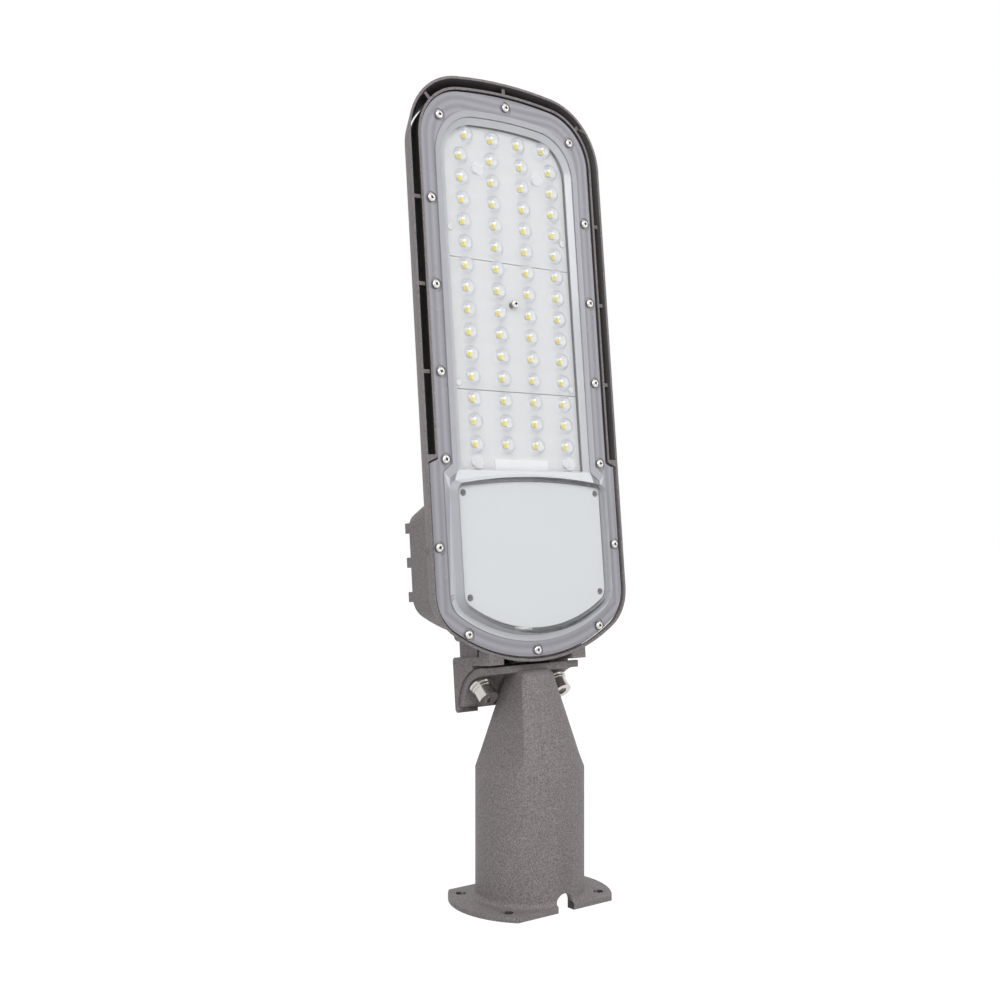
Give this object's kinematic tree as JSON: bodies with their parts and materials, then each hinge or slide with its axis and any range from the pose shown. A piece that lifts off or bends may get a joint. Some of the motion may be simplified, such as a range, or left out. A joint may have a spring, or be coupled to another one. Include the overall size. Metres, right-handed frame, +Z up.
{
  "type": "led street light head",
  "caption": "LED street light head with a clear lens cover, lamp boards, driver box and a tilting pole-top spigot with a bolting flange.",
  "frame": {"origin": "centre of the pole bore on the underside of the spigot flange", "axes": "+Z up along the spigot, -Y the way the lenses face, +X to the right seen from the front"},
  "size_m": [0.157, 0.0887, 0.5303],
  "materials": {
    "housing_coat": "sandy powder coat, warm grey",
    "spigot_coat": "sandy powder coat, warm grey",
    "clear_cover": "clear moulded polycarbonate, glossy",
    "seal_rubber": "matt",
    "stainless": "turned stainless",
    "bolt_steel": "turned stainless",
    "board_white": "white solder mask",
    "chip_yellow": "phosphor yellow",
    "tab_white": "white",
    "panel_white": "white sheet metal, satin",
    "driver_case": "satin",
    "terminal_plastic": "off-white",
    "surge_case": "red",
    "brass": "plain",
    "gland_metal": "nickel plated"
  },
  "bodies": {
    "spigot": {"spigot": "spigot_coat"},
    "head": {"housing": "housing_coat", "front_cover": "clear_cover", "cover_gasket": "seal_rubber", "cover_screws": "stainless", "centre_screw": "stainless", "board_screws": "stainless", "panel_screws": "stainless", "driver_screws": "stainless", "led_board_top": "board_white", "led_board_middle": "board_white", "led_board_bottom": "board_white", "led_chips": "chip_yellow", "wire_cover": "tab_white", "driver_panel": "panel_white", "led_driver": "driver_case", "terminal_block": "terminal_plastic", "surge_protector": "surge_case", "earth_screw": "brass", "cable_gland": "gland_metal", "gland_nut": "gland_metal", "gland_seal": "seal_rubber", "tilt_bolts": "bolt_steel", "spring_washers": "bolt_steel", "flat_washers": "bolt_steel"}
  },
  "joints": [
    {"name": "head_tilt", "type": "hinge", "parent": "spigot", "child": "head", "pos_m": [0, -0.003, 0.1233], "axis": [-1, 0, 0], "range_deg": [-5.5, 5]}
  ]
}
